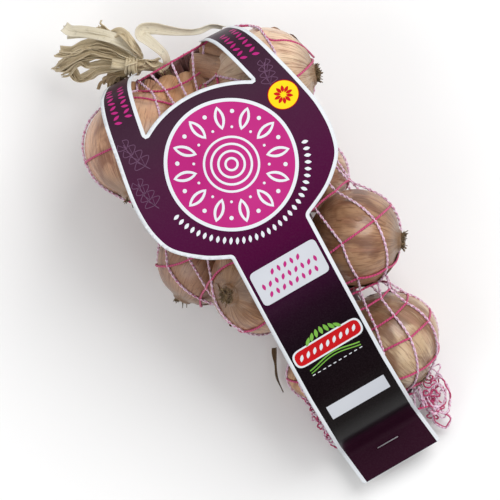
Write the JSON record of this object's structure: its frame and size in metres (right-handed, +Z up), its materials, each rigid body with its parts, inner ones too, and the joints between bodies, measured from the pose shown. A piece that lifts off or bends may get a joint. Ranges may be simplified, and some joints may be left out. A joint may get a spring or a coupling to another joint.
{
  "type": "netted string of onions",
  "caption": "String of small pink onions on their twisted stems, held in a tube net with a raffia tie and a wrap-round card sleeve, lying flat.",
  "frame": {"origin": "middle of the bounding box, on the surface that the string lies on", "axes": "+Z up, +Y along the string towards the stems, +X across the card"},
  "size_m": [0.1376, 0.2938, 0.1031],
  "materials": {
    "onion_skin": "dry papery skin, satin",
    "dried_leaf": "matt straw",
    "net_thread": "knitted thread",
    "printed_card": "glossy laminated card",
    "staple_steel": "bright wire"
  },
  "bodies": {
    "root": {"onion_01": "onion_skin", "onion_02": "onion_skin", "onion_03": "onion_skin", "onion_04": "onion_skin", "onion_05": "onion_skin", "onion_06": "onion_skin", "onion_07": "onion_skin", "onion_08": "onion_skin", "onion_09": "onion_skin", "onion_10": "onion_skin", "onion_11": "onion_skin", "onion_12": "onion_skin", "onion_13": "onion_skin", "stems": "dried_leaf", "raffia_tie": "dried_leaf", "dry_leaf": "dried_leaf", "net": "net_thread", "net_tail": "net_thread", "label_card": "printed_card", "staple": "staple_steel"}
  },
  "joints": []
}
